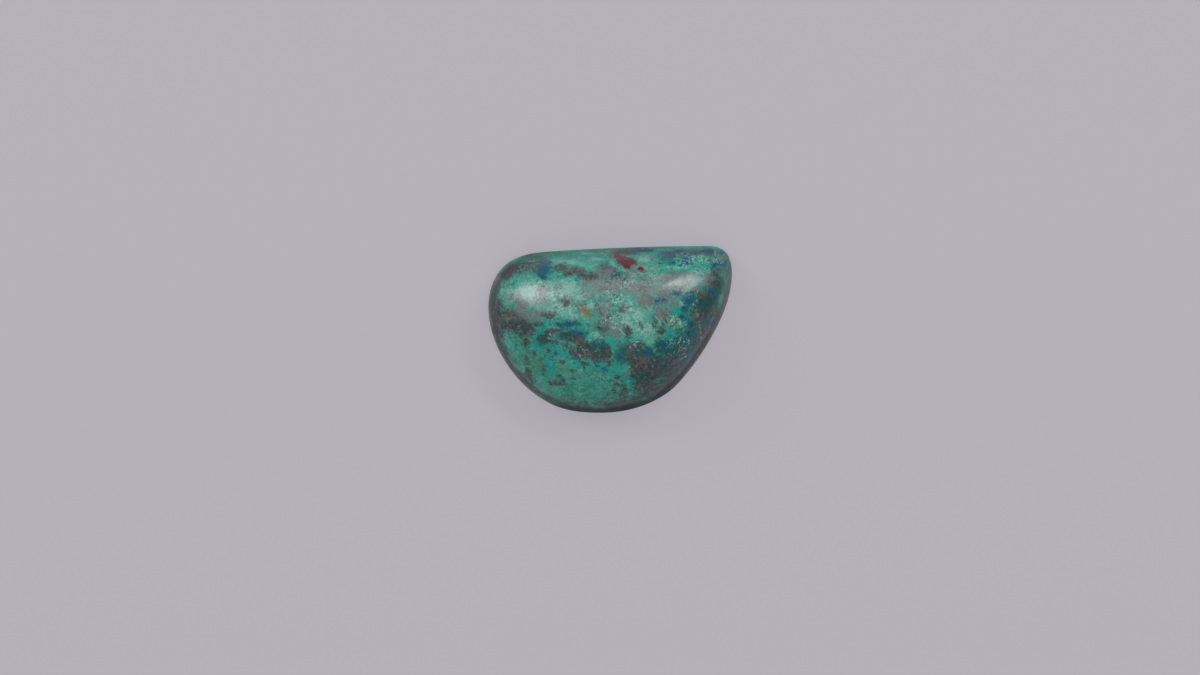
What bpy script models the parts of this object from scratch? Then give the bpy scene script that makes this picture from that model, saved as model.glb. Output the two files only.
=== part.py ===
"""A hand-cut azurite and malachite cabochon: one piece of stone with a flat back and a polished dome.

The stone lies on its flat back, dome up. +X is its long side, +Y points to its straighter edge, and
the origin is under the middle of its outline, on the surface that it rests on.
"""

import math

import bmesh
import bpy
import numpy as np

MM = 0.001

# Driving dimensions, in millimetres. The girdle is the wall around the stone, under the dome. It
# leans in as it rises, more so on the upper side, towards +Y, and most at the corners, which are
# rounded off over this much of the dome's foot.
STONE_LENGTH = 16.2
STONE_WIDTH = 11.1
STONE_THICKNESS = 4.7
GIRDLE_TOP = 2.0
GIRDLE_LEAN = 0.5
UPPER_SIDE_LEAN = 0.25
FOOT_ROUNDING = 3.0
BACK_BEVEL = 0.3

# The dome's rings change from the outline at its foot to an oval around the summit, the sooner the
# higher the haste. A higher shoulder keeps the top flatter, and a lower steepness makes the foot
# of the dome rise more steeply.
SUMMIT = (0.1, 0.55)
SUMMIT_OVAL = (7.4, 5.0)
OVAL_HASTE = 1.5
DOME_SHOULDER = 2.4
DOME_STEEPNESS = 0.86

# The hand polish leaves the dome a little wavy, most of all midway up.
WAVE_HEIGHT = 0.03
WAVE_LENGTHS = (5.2, 4.1)

# How finely the faceted solid follows the stone. Crowding above 1 draws the dome's rings towards
# its foot, where it bends most.
STEPS_AROUND = 96
STEPS_PER_STRETCH = 40
GIRDLE_RINGS = 3
DOME_RINGS = 26
RING_CROWDING = 1.4
SMOOTH_UP_TO_DEGREES = 30

STONE_COLOUR = (0.08, 0.19, 0.175, 1.0)
STONE_ROUGHNESS = 0.28

# The outline as seen from above, anticlockwise from the upper right. Each knot is a point in
# millimetres and the heading of the outline there, in degrees from +X.
OUTLINE_KNOTS = [
    (6.60, 5.60, 180),
    (-4.20, 5.22, 184),
    (-6.95, 4.35, 221),
    (-8.10, 1.50, 270),
    (-7.05, -2.00, 301),
    (-4.00, -4.90, 333),
    (-0.40, -5.52, 1),
    (3.00, -4.70, 27),
    (4.40, -3.72, 46),
    (7.00, -0.05, 62),
    (8.12, 3.65, 89),
    (7.80, 5.05, 123),
]


def clear_scene():
    for thing in list(bpy.data.objects):
        bpy.data.objects.remove(thing, do_unlink=True)


def heading_vector(degrees):
    return np.array([math.cos(math.radians(degrees)), math.sin(math.radians(degrees))])


def arc_like_stretch(start, end):
    """Points from one knot to just before the next, on the cubic curve that is nearest to an arc."""
    first, last = np.array(start[:2]), np.array(end[:2])
    turn = math.radians((end[2] - start[2]) % 360)
    reach = np.linalg.norm(last - first) / (3 * math.cos(turn / 4) ** 2)
    leaving = first + reach * heading_vector(start[2])
    arriving = last - reach * heading_vector(end[2])
    gone = np.linspace(0, 1, STEPS_PER_STRETCH, endpoint=False)[:, None]
    left = 1 - gone
    near_first = left ** 3 * first + 3 * gone * left ** 2 * leaving
    near_last = 3 * gone ** 2 * left * arriving + gone ** 3 * last
    return near_first + near_last


def outline():
    """The outline as evenly spaced points, fitted to the stone's length and width."""
    knots = OUTLINE_KNOTS
    curve = np.concatenate([arc_like_stretch(a, b) for a, b in zip(knots, knots[1:] + knots[:1])])
    low, high = curve.min(axis=0), curve.max(axis=0)
    curve = (curve - (low + high) / 2) * (np.array([STONE_LENGTH, STONE_WIDTH]) / (high - low))
    loop = np.concatenate([curve, curve[:1]])
    travelled = np.concatenate([[0], np.cumsum(np.linalg.norm(np.diff(loop, axis=0), axis=1))])
    even = np.linspace(0, travelled[-1], STEPS_AROUND, endpoint=False)
    return np.column_stack([np.interp(even, travelled, loop[:, axis]) for axis in (0, 1)])


def inset(loop, distance, upper_side=0.0):
    """The loop moved inwards by a distance, square to itself, and by more on the upper side."""
    along = np.roll(loop, -1, axis=0) - np.roll(loop, 1, axis=0)
    along /= np.linalg.norm(along, axis=1)[:, None]
    inwards = np.column_stack([-along[:, 1], along[:, 0]])
    facing_up = np.clip(-inwards[:, 1:], 0, 1)
    return loop + (distance + upper_side * facing_up ** 2) * inwards


def rounded(loop, width):
    """The loop with each point moved to the middle of a stretch of this width around it, twice."""
    length = np.linalg.norm(np.roll(loop, -1, axis=0) - loop, axis=1).sum()
    reach = round(width / length * len(loop) / 2)
    for _ in range(2):
        loop = np.mean([np.roll(loop, step, axis=0) for step in range(-reach, reach + 1)], axis=0)
    return loop


def dome_ring(foot, share):
    """One ring of the dome. The share is 1 at the dome's foot and 0 at the summit."""
    summit, oval = np.array(SUMMIT), np.array(SUMMIT_OVAL)
    offset = (foot - summit) / oval
    reach = np.linalg.norm(offset, axis=1)[:, None]
    spread = share * (1 + share ** OVAL_HASTE * (reach - 1))
    ring = summit + spread * offset / reach * oval
    rise = (STONE_THICKNESS - GIRDLE_TOP) * (1 - share ** DOME_SHOULDER) ** DOME_STEEPNESS
    phase = ring * 2 * math.pi / np.array(WAVE_LENGTHS)
    swell = np.sin(phase[:, 0]) * np.cos(phase[:, 1])
    midway = (4 * share * (1 - share)) ** 2
    return np.column_stack([ring, GIRDLE_TOP + rise + WAVE_HEIGHT * midway * swell])


def stone_rings():
    """All the closed rings of the stone from the flat back up to just under the summit."""
    edge = outline()
    foot = rounded(inset(edge, GIRDLE_LEAN, UPPER_SIDE_LEAN), FOOT_ROUNDING)
    rings = [np.column_stack([inset(edge, BACK_BEVEL), np.zeros(STEPS_AROUND)])]
    for step in range(GIRDLE_RINGS):
        up = step / GIRDLE_RINGS
        wall = edge + (foot - edge) * up
        height = BACK_BEVEL + (GIRDLE_TOP - BACK_BEVEL) * up
        rings.append(np.column_stack([wall, np.full(STEPS_AROUND, height)]))
    for step in range(DOME_RINGS):
        rings.append(dome_ring(foot, 1 - (step / DOME_RINGS) ** RING_CROWDING))
    return rings


def build_stone():
    shape = bmesh.new()
    rings = [[shape.verts.new(point * MM) for point in ring] for ring in stone_rings()]
    for lower, upper in zip(rings, rings[1:]):
        for i in range(STEPS_AROUND):
            j = (i + 1) % STEPS_AROUND
            shape.faces.new([lower[i], lower[j], upper[j], upper[i]])
    summit = shape.verts.new((SUMMIT[0] * MM, SUMMIT[1] * MM, STONE_THICKNESS * MM))
    for i in range(STEPS_AROUND):
        shape.faces.new([rings[-1][i], rings[-1][(i + 1) % STEPS_AROUND], summit])
    shape.faces.new(rings[0][::-1])
    mesh = bpy.data.meshes.new("stone")
    shape.to_mesh(mesh)
    shape.free()
    mesh.shade_smooth()
    mesh.set_sharp_from_angle(angle=math.radians(SMOOTH_UP_TO_DEGREES))
    stone = bpy.data.objects.new("stone", mesh)
    bpy.context.scene.collection.objects.link(stone)
    stone.data.materials.append(stone_material())
    return stone


def stone_material():
    material = bpy.data.materials.new("polished_stone")
    material.use_nodes = True
    shader = material.node_tree.nodes["Principled BSDF"]
    shader.inputs["Base Color"].default_value = STONE_COLOUR
    shader.inputs["Roughness"].default_value = STONE_ROUGHNESS
    shader.inputs["Metallic"].default_value = 0.0
    return material


clear_scene()
build_stone()
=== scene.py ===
"""A polished azurite cabochon, dressed for a close look: the fine mesh of the stone, the minerals
that show through its polish, the pits in its softer grains, and a plain studio stage.

The stone is one piece of rock. It lies on its flat back with +Z out of the dome, and its outline and
profile are those of the solid that it stands for. Its marks are placed one by one, mineral by mineral.
"""

import math

import bpy
import numpy as np
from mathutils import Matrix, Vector, noise


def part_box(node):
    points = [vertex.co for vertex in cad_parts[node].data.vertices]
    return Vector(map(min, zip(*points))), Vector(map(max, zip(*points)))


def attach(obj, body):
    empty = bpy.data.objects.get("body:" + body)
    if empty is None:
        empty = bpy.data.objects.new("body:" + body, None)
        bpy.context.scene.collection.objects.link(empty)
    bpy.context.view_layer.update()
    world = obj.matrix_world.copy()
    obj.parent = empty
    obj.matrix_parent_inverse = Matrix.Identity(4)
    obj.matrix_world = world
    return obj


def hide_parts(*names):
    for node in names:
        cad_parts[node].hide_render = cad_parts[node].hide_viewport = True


bl_info = {
    "name": "Azurite cabochon",
    "version": (1, 0, 0),
    "blender": (4, 5, 0),
    "location": "3D View > Sidebar > Cabochon",
    "description": "Makes a polished azurite cabochon and the stage that it lies on",
    "category": "Add Mesh",
}

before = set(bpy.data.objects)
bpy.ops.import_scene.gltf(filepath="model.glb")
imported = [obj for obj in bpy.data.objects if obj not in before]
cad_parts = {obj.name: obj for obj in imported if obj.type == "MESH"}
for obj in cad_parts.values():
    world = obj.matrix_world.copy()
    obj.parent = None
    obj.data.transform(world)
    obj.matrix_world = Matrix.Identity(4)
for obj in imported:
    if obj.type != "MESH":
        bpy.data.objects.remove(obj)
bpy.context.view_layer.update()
STONE_LOW, STONE_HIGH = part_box("stone")
STONE_SIZE = STONE_HIGH - STONE_LOW

MM = 0.001

# The outline as seen from above, anticlockwise from the upper right. Each knot is a point in
# millimetres and the heading of the outline there, in degrees from +X.
OUTLINE_KNOTS = [
    (6.60, 5.60, 180),
    (-4.20, 5.22, 184),
    (-6.95, 4.35, 221),
    (-8.10, 1.50, 270),
    (-7.05, -2.00, 301),
    (-4.00, -4.90, 333),
    (-0.40, -5.52, 1),
    (3.00, -4.70, 27),
    (4.40, -3.72, 46),
    (7.00, -0.05, 62),
    (8.12, 3.65, 89),
    (7.80, 5.05, 123),
]

# How finely the mesh follows the stone.
STEPS_AROUND = 620
STEPS_PER_STRETCH = 90
BACK_RINGS = 20
BEVEL_RINGS = 6
GIRDLE_RINGS = 24
DOME_RINGS = 84
RING_CROWDING = 1.15
ARRIS_SOFTENINGS = 14

# The marks on the dome, as an eye straight above the stone sees them. Each is the middle of an oval
# (x, y), half its length and half its width, all in millimetres, and its turn in degrees if it has one.
PALE_MARKS = [
    (-4.9, 2.6, 1.9, 0.95, 5), (-6.6, 2.3, 0.75, 0.8), (-2.9, 2.5, 1.1, 0.9),
    (-3.6, 1.5, 0.7, 0.45, -10), (-2.7, 1.05, 0.95, 0.35), (-2.0, 2.1, 0.6, 0.4),
    (-1.4, 1.5, 0.35, 0.3), (-3.2, 4.55, 1.0, 0.22), (-2.4, 4.4, 0.8, 0.2, -10),
    (-1.6, 4.15, 0.55, 0.25, -10), (-1.0, 4.7, 0.45, 0.25), (-1.6, 5.05, 0.8, 0.08),
    (0.3, 4.3, 0.4, 0.1, -25), (0.8, 4.0, 0.4, 0.12, -20), (2.3, 4.7, 0.5, 0.35),
    (2.6, 4.1, 0.9, 0.25, -5), (1.6, 3.65, 0.4, 0.2), (1.4, 3.25, 0.25, 0.12, 10),
    (3.3, 3.5, 0.9, 0.35), (4.6, 4.2, 0.9, 0.2), (1.7, 1.0, 1.0, 0.75, -35),
    (2.1, 0.1, 1.0, 0.65, -20), (1.3, 1.6, 0.5, 0.3, -40), (2.45, 1.5, 0.25, 0.25),
    (2.75, -0.6, 0.25, 0.22), (3.2, -0.5, 0.25, 0.06, 10), (2.35, -0.85, 0.14, 0.14),
    (1.55, -0.5, 0.12, 0.15), (1.05, 2.2, 0.18, 0.1, 10), (0.6, 2.0, 0.3, 0.15),
    (4.3, 1.95, 0.25, 0.1), (4.75, 1.7, 0.25, 0.15, -20), (-0.4, 1.7, 0.6, 0.25, -30),
    (0.4, 1.9, 0.5, 0.3), (0.7, 0.7, 0.5, 0.35, -30), (1.1, 0.6, 0.8, 0.5, -35),
    (-2.9, 1.35, 1.2, 0.5), (-3.6, 2.1, 0.9, 0.5), (-0.9, 5.1, 0.9, 0.1, 2), (3.1, 5.25, 0.5, 0.08),
    (-2.6, 1.0, 1.1, 0.3), (-0.9, -0.35, 0.35, 0.1, -20), (1.5, 0.2, 0.8, 0.5, -20),
    (2.5, 0.2, 0.6, 0.5),
]
TEAL_MARKS = [
    (-4.6, 0.1, 0.4, 0.9), (-4.6, -0.9, 0.6, 0.5), (-3.6, -1.35, 0.9, 0.3, -28),
    (-2.6, -1.9, 0.7, 0.25, -35), (-1.9, -2.4, 0.7, 0.25, -10), (-3.95, -2.4, 0.45, 0.55),
    (0.45, -2.6, 0.6, 0.55), (-0.5, -2.5, 0.7, 0.25), (0.6, -1.4, 0.4, 0.6),
    (4.0, -0.6, 0.9, 0.35, 10), (4.45, 1.15, 0.6, 0.5), (0.1, -0.6, 0.5, 0.4),
    (1.4, -3.6, 0.45, 0.4, -30), (3.4, -4.15, 0.6, 0.3, 25), (-4.4, 0.5, 0.5, 0.35),
    (-0.4, 4.6, 0.4, 0.25), (-0.2, 5.25, 0.6, 0.12),
]
MALACHITE_MARKS = [
    (-6.25, 4.45, 0.75, 0.22, 40), (-5.0, 4.95, 1.0, 0.22, 6), (-4.9, -2.35, 0.4, 0.5),
    (-5.25, -1.6, 0.35, 0.14, -35), (-5.0, -2.9, 0.35, 0.3), (7.55, 3.65, 0.28, 0.35),
    (1.2, 5.0, 0.6, 0.15), (-1.1, 0.0, 0.35, 0.3), (-3.2, -2.7, 0.5, 0.3),
    (1.35, -4.0, 0.35, 0.13, 10), (3.0, -3.9, 0.35, 0.15, 10), (-2.4, -3.1, 0.35, 0.35),
    (-3.9, 5.0, 0.8, 0.12, 3), (0.4, 5.3, 1.0, 0.1, 2), (0.5, -4.95, 0.7, 0.25, 5),
    (6.3, 1.8, 0.45, 0.5),
]
AZURITE_MARKS = [
    (-4.45, 3.86, 0.6, 0.52), (-4.3, 4.4, 0.45, 0.22), (-4.65, 3.55, 0.3, 0.2),
    (-2.1, 3.58, 0.2, 0.13), (-3.0, 0.3, 0.45, 0.15), (-2.2, 0.35, 0.4, 0.1),
    (-2.3, -0.25, 0.48, 0.17), (0.35, 3.6, 0.27, 0.2), (2.2, 5.3, 0.8, 0.14),
    (3.85, 4.9, 0.45, 0.3, -20), (4.2, 4.5, 0.22, 0.1, 15), (3.3, 4.9, 0.1, 0.05),
    (5.1, 4.65, 0.5, 0.33), (4.6, 5.15, 0.4, 0.12), (5.8, 5.1, 0.4, 0.15), (6.5, 5.15, 0.45, 0.2),
    (7.4, 5.05, 0.35, 0.15, -30), (7.8, 5.0, 0.25, 0.25, -45), (8.0, 4.2, 0.12, 0.4),
    (6.9, 4.3, 0.3, 0.22), (7.6, 4.45, 0.28, 0.35), (3.3, 1.9, 0.35, 0.15), (4.3, 2.4, 0.35, 0.2),
    (5.3, 1.9, 0.42, 0.35, -10), (5.0, 1.3, 0.25, 0.2), (4.75, 0.75, 0.2, 0.15),
    (6.7, 2.5, 0.28, 0.2), (5.4, 0.3, 0.3, 0.3), (6.55, 0.4, 0.3, 0.28),
    (2.5, -1.65, 0.5, 0.33, -10), (3.6, -1.1, 0.45, 0.2), (5.1, -1.0, 0.3, 0.25),
    (5.3, -0.4, 0.25, 0.3), (0.7, -1.7, 0.12, 0.25), (-0.4, -0.9, 0.18, 0.13),
    (-0.8, -1.05, 0.12, 0.1), (-0.35, -2.65, 0.1, 0.2, 10), (-0.8, -2.45, 0.2, 0.09),
    (-3.55, -1.7, 0.17, 0.1, -40), (-4.35, -1.75, 0.13, 0.07, 20), (3.55, -2.5, 0.3, 0.22),
    (5.2, -1.9, 0.3, 0.3),
]
MATRIX_MARKS = [
    (-6.75, 3.6, 0.5, 0.22, 48), (-5.75, 4.05, 0.85, 0.28, 14), (-5.1, 4.15, 0.4, 0.25, 10),
    (-3.35, 4.05, 0.55, 0.2, -3), (-2.85, 3.72, 0.35, 0.22, -20), (-2.2, 3.85, 0.6, 0.2, -8),
    (-1.5, 3.6, 0.5, 0.25, -15), (-3.0, 1.92, 0.42, 0.33, -10), (-7.35, 1.6, 0.3, 0.5),
    (-7.4, 0.4, 0.3, 0.9), (-6.7, 1.0, 0.5, 0.25, -10), (-6.6, 0.2, 0.8, 0.4),
    (-5.6, 0.0, 0.6, 0.5, -20), (-5.2, 0.3, 0.7, 0.15), (-4.2, 0.95, 0.55, 0.2),
    (-5.6, -0.85, 0.2, 0.28), (-3.8, -0.1, 0.5, 0.16, 5), (-4.3, -0.5, 0.22, 0.3),
    (-3.6, -0.88, 0.6, 0.17, -8), (-3.0, -1.1, 0.3, 0.15, -20), (-2.35, -0.75, 0.5, 0.35),
    (-2.6, -1.35, 0.32, 0.3), (-2.0, -1.55, 0.55, 0.5), (-1.35, -1.6, 0.4, 0.3),
    (-0.95, -1.9, 0.4, 0.35), (-0.4, -1.7, 0.5, 0.35), (-0.05, -2.1, 0.15, 0.35),
    (-1.8, -2.3, 0.3, 0.15, -20), (-0.3, -1.2, 0.3, 0.2), (-5.55, -2.1, 0.12, 0.45, 8),
    (-5.55, -2.95, 0.25, 0.3), (-5.3, -3.4, 0.3, 0.2, -40), (-5.05, -1.65, 0.14, 0.13),
    (-4.15, -1.4, 0.09, 0.2), (-4.62, -2.05, 0.17, 0.16), (-4.5, -2.4, 0.09, 0.2),
    (-4.5, -2.75, 0.12, 0.14), (-3.85, -1.95, 0.14, 0.05), (-3.25, -2.2, 0.2, 0.12, 10),
    (-3.45, -3.05, 0.13, 0.08), (-3.15, -3.4, 0.17, 0.2), (-3.0, -3.65, 0.14, 0.12),
    (-3.65, -3.57, 0.5, 0.15, -8), (-2.45, -2.78, 0.18, 0.07, 10), (-2.2, -3.03, 0.13, 0.05, -20),
    (0.15, -3.95, 0.16, 0.35), (0.65, -3.72, 0.35, 0.08, 12), (0.9, -4.4, 0.25, 0.42),
    (0.45, -3.25, 0.2, 0.1, 20), (2.2, -2.4, 1.0, 0.6, -10), (3.4, -2.9, 1.4, 0.8, -20),
    (2.6, -3.6, 1.2, 0.6, 15), (4.4, -2.4, 0.7, 0.6, 40), (1.35, -2.6, 0.22, 0.55),
    (1.2, -1.25, 0.22, 0.4), (0.65, -1.18, 0.16, 0.13), (1.75, -1.2, 0.5, 0.4),
    (1.9, -2.0, 0.4, 0.3), (3.9, -3.7, 0.9, 0.3, 35), (1.15, -0.1, 0.25, 0.25),
    (3.3, -0.15, 0.18, 0.3), (2.95, 0.35, 0.12, 0.4, 10), (7.1, 3.8, 0.25, 0.3),
    (7.0, 3.1, 0.5, 0.2, -5), (6.2, 2.3, 0.3, 0.25), (1.0, 5.12, 0.8, 0.12),
    (-6.4, 4.2, 0.5, 0.1, 25), (-4.9, 4.5, 1.0, 0.1, 8), (5.5, 1.15, 0.17, 0.13),
    (5.75, 0.6, 0.25, 0.3), (7.0, 0.9, 0.35, 0.5, -20), (6.3, -0.4, 0.4, 0.6, -20),
    (5.9, -1.3, 0.4, 0.5, -30), (6.1, 0.9, 0.3, 0.5),
]
# Grey-brown film over the green. The wide marks across the upper middle and those under the two
# highlights are also a painted reflection: a grey veil where the lights reflect.
FILM_AND_SHEEN_MARKS = [
    (2.35, 2.6, 0.95, 0.85), (3.6, 2.55, 1.0, 0.35, 5), (-0.2, 3.55, 1.1, 0.5),
    (-1.5, 3.1, 0.5, 0.4), (2.4, 3.4, 0.5, 0.2), (-6.35, 2.1, 0.35, 0.28), (-1.95, 1.5, 0.28, 0.25),
    (-4.8, 0.95, 1.2, 0.25), (-3.5, 2.85, 0.28, 0.16, 20), (0.85, 1.4, 0.32, 0.2),
    (-0.3, 0.6, 0.45, 0.5), (-1.1, 0.95, 0.3, 0.1), (-0.8, 2.55, 0.5, 0.25, 10),
    (-0.3, -0.3, 0.35, 0.25), (4.4, 3.87, 0.5, 0.07), (3.0, 4.2, 0.15, 0.07, 20),
    (2.75, 4.7, 0.16, 0.1), (5.7, 2.8, 0.4, 0.3), (-4.7, 1.9, 0.7, 0.25), (6.5, 3.3, 0.5, 0.4),
    (0.3, 2.9, 1.6, 0.5), (-0.4, 1.4, 0.6, 0.6), (1.7, 3.9, 0.7, 0.3), (4.6, 2.9, 0.9, 0.35),
    (0.1, 0.1, 0.7, 0.5, -30), (-5.6, 0.95, 1.3, 0.5), (3.6, 1.9, 0.9, 0.5, -10),
    (2.6, 1.9, 0.8, 0.5), (1.5, 2.9, 0.7, 0.5), (0.45, 5.05, 0.6, 0.2), (3.5, 1.1, 0.6, 0.5),
    (-1.5, 2.3, 0.45, 0.3), (-5.3, 1.1, 0.8, 0.3), (-5.9, 1.7, 0.5, 0.3), (4.0, 3.2, 1.2, 0.4, 10),
    (-4.5, 2.5, 0.5, 0.4), (5.3, 3.3, 0.6, 0.4, 20),
]
CUPRITE_MARKS = [
    (0.95, 4.6, 0.78, 0.25, -12), (1.15, 4.25, 0.28, 0.25), (0.7, 4.72, 0.4, 0.15),
    (1.5, 4.42, 0.28, 0.2, -10), (2.0, 4.05, 0.2, 0.13, 10), (2.0, 3.9, 0.08, 0.1),
    (0.15, 3.95, 0.12, 0.05), (3.45, 4.47, 0.16, 0.05, -10),
]
OCHRE_MARKS = [
    (-1.62, 1.1, 0.42, 0.28, -20),
]
GRAIN_MARKS = [
    (6.3, 4.6, 0.6, 0.4), (7.3, 4.8, 0.6, 0.45, -20), (5.6, 4.6, 0.4, 0.3), (4.35, 0.35, 0.6, 0.4),
    (4.8, -1.5, 0.35, 0.4), (6.05, -0.1, 0.12, 0.7, 5), (5.8, 1.3, 0.1, 0.7, 8),
]
SPECK_MARKS = [
    (-0.85, -0.4, 0.5, 0.3, -20), (-2.0, -1.5, 0.45, 0.4), (-0.85, -1.4, 0.3, 0.12),
    (1.85, -1.2, 0.4, 0.35), (4.1, -1.7, 0.25, 0.15), (0.2, 2.3, 0.9, 0.45, -30),
    (0.3, 0.6, 0.7, 0.7), (-4.0, -0.5, 0.3, 0.3), (1.0, 3.0, 0.7, 0.3), (6.2, 3.9, 0.7, 0.4),
    (5.5, 4.7, 1.4, 0.5, 5), (7.2, 4.7, 0.6, 0.45, -20), (4.3, 0.4, 0.7, 0.45),
    (-5.6, 4.0, 0.6, 0.25, 14), (4.6, -0.9, 1.0, 0.5),
]
# The two thin marks along the edges, at (0.6, -5.1) on the bottom and (-5.0, 5.05) on the upper left,
# are painted shade along the rim.
DEEP_MARKS = [
    (6.4, 1.6, 0.9, 1.5, -15), (5.9, -0.5, 1.0, 1.2, -25), (5.0, -1.7, 1.2, 0.8, 40),
    (3.9, -1.5, 1.0, 0.35), (7.0, 2.9, 0.6, 0.7), (2.4, -1.7, 0.8, 0.4), (3.2, -2.8, 1.9, 1.1, 10),
    (4.0, -3.7, 1.2, 0.4, 38), (2.6, -4.2, 1.3, 0.35, 22), (0.6, -5.1, 1.0, 0.25, 5),
    (5.2, 2.0, 0.7, 0.6), (4.8, -1.2, 1.1, 0.6), (3.6, -1.0, 0.8, 0.35), (-4.5, -0.6, 0.5, 0.4),
    (-0.4, 0.1, 0.5, 0.25), (5.6, -1.0, 0.7, 0.9, -30), (-7.3, 1.0, 0.35, 1.3),
    (-6.0, 0.3, 0.9, 0.5), (-3.0, 0.4, 0.8, 0.3), (-2.6, -0.4, 0.9, 0.5), (-1.2, -1.4, 1.2, 0.6),
    (0.8, -1.6, 0.4, 0.7), (1.7, -1.5, 0.6, 0.6), (-0.3, 4.1, 0.5, 0.25), (-6.7, 4.0, 0.7, 0.3, 50),
    (-5.0, 5.05, 1.6, 0.12, 5),
]
# The long one at (-5.4, 4.55), along the upper-left edge, is a painted highlight.
SCRATCH_MARKS = [
    (0.7, -0.12, 0.42, 0.04, -42), (3.1, 0.65, 0.35, 0.035, -42), (-5.4, 4.55, 0.75, 0.04, 5),
    (4.9, -1.85, 0.25, 0.04, 35), (-0.1, 2.2, 0.3, 0.03, -35), (0.25, 2.45, 0.3, 0.03, -35),
]

# The marks of each mineral, under the name of the attribute that holds its field.
MARKS = {
    "pale": PALE_MARKS,
    "teal": TEAL_MARKS,
    "malachite": MALACHITE_MARKS,
    "azurite": AZURITE_MARKS,
    "matrix": MATRIX_MARKS,
    "film": FILM_AND_SHEEN_MARKS,
    "cuprite": CUPRITE_MARKS,
    "ochre": OCHRE_MARKS,
    "grain": GRAIN_MARKS,
    "speck": SPECK_MARKS,
    "deep": DEEP_MARKS,
    "scratch": SCRATCH_MARKS,
}

# On the foot of the wall and on the back, which no mark reaches, noise alone places the minerals: the
# size of its patches in millimetres, how common they are, and which noise it is.
UNSEEN_PATCHES = {
    "pale": (2.6, -0.35, 11),
    "teal": (2.2, -0.15, 12),
    "malachite": (1.8, -0.25, 13),
    "azurite": (1.9, -0.45, 14),
    "matrix": (2.4, -0.05, 15),
    "film": (1.6, -0.5, 16),
    "cuprite": (1.3, -1.25, 17),
    "ochre": (1.0, -1.4, 18),
    "grain": (1.4, -0.7, 19),
    "speck": (1.2, -0.5, 21),
    "deep": (2.8, -0.2, 22),
    "scratch": (1.0, -3.0, 20),
}

# Where up the wall the marks take over, as shares of the girdle's height.
MARKS_BEGIN = (0.1, 0.25)

# The marks drift sideways, in waves of these lengths and by these distances, in millimetres.
DRIFTS = ((1.1, 0.16), (0.42, 0.07))
DRIFT_SEED = 1

# A mark's field is 0 on its edge. Outside it falls no lower than this, and inside it grows with the
# square root of the mark's width over this one, in millimetres.
FAR_OUTSIDE = -3.0
PLAIN_WIDTH = 0.35

# How ragged the edges are: the size of their wandering in millimetres, how far it goes, how much
# grit frays them, and which noise it is.
EDGES = {
    "teal": (1.0, 3.0, 1.0, 4), "malachite": (0.8, 3.5, 1.4, 5), "pale": (0.8, 5.0, 2.6, 6),
    "film": (0.6, 3.6, 2.4, 7), "azurite": (0.55, 4.5, 1.8, 8), "matrix": (0.5, 4.5, 2.6, 9),
    "cuprite": (0.35, 3.0, 1.5, 11), "ochre": (0.5, 1.8, 0.8, 12), "speck": (0.5, 3.0, 0.0, 14),
    "grain": (0.4, 1.5, 0.0, 16), "deep": (0.9, 4.0, 2.0, 17),
}

# The noises under the polish: the size of their largest forms in millimetres, which noise each is,
# how many finer layers it has, and how strong those are.
CLOUDS = {
    "broad": (2.2, 1, 4, 0.65), "mottle": (0.55, 2, 6, 0.75), "grit": (0.14, 3, 3, 0.75),
    "crowd": (1.3, 13, 3, 0.65), "dark": (0.24, 18, 4, 0.7), "light": (0.13, 19, 3, 0.6),
    "blue": (0.2, 20, 3, 0.6), "rust": (0.6, 21, 4, 0.62), "grey": (0.16, 22, 3, 0.7),
    "film": (0.5, 23, 4, 0.7), "brown": (0.2, 24, 4, 0.7), "yellow": (0.2, 25, 3, 0.7),
    "contrast": (0.9, 26, 3, 0.65),
}

# How each coat covers what lies under it: where in its mineral's field it starts, where it is full,
# and how much of it covers there.
COVERS = {
    "teal": (-0.7, 0.5, 0.85), "malachite": (-0.4, 0.3, 0.85), "deep": (-0.8, 0.8, 0.88),
    "mint": (-0.6, 0.15, 0.75), "pale": (0.1, 1.0, 0.9), "film": (-0.8, 0.6, 0.95),
    "halo": (-0.7, 0.2, 0.65), "azurite": (-0.15, 0.6, 0.88), "matrix": (-0.5, 0.45, 0.92),
    "cuprite": (-0.4, 0.3, 0.95), "ochre": (-0.9, 0.9, 0.85), "speck": (-0.5, 0.6, 1.0),
    "grain": (-0.3, 0.5, 1.0), "scratch": (-0.25, 0.2, 0.6),
}

# How flecks crowd together, and how much the speckled parts add to the noise of each kind.
CROWDING = 0.8
WHERE_SPECKLED = {"dark": 0.05, "light": 0.14, "blue": -0.12}

# Each pit is at least this share of the widest, and is flat out to this share of its radius. The
# polish leaves few on the green, from 0 to 1, and more on these from this range of their fields on.
SMALLEST_PIT = 0.35
PIT_FLOOR = 0.25
PITS_ON_GREEN = 0.08
MORE_PITS = {"matrix": 0.5, "grain": 0.7}
PITS_BEGIN = (-0.2, 0.4)

# The studio's lights: azimuth and elevation in degrees, then distance, width and height in metres.
LIGHTS = {
    "panel": (94, 43, 0.50, 0.80, 0.36),
    "left_box": (148, 32, 0.45, 0.18, 0.20),
    "right_box": (43, 37, 0.45, 0.36, 0.07),
    "fill": (-90, 50, 0.60, 0.90, 0.50),
}
SKY_COLOUR = (0.97, 0.96, 1.0, 1.0)


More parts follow.
